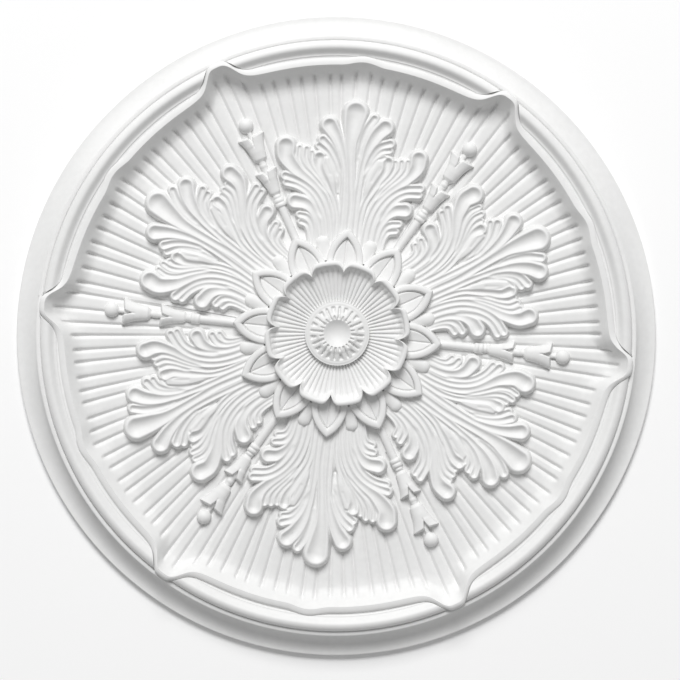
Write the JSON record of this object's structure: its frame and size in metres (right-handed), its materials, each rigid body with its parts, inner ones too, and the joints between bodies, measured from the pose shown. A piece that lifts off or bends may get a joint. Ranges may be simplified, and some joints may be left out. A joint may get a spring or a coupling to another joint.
{
  "type": "ceiling rose",
  "caption": "Round white ceiling rose with a moulded rim, wavy lip, fluted field, acanthus leaves, strings of husks and a petalled flower in the middle.",
  "frame": {"origin": "centre of the flat back, which is glued to the ceiling", "axes": "+Z out of the flat back through the carving, +X along a string of husks, +Y along a leaf. The row lies face up: on a ceiling it is turned over and +Z points down into the room"},
  "size_m": [0.6999, 0.7, 0.038],
  "materials": {
    "casting": "matt white primer on dense polyurethane foam"
  },
  "bodies": {
    "root": {"ceiling_rose": "casting"}
  },
  "joints": []
}
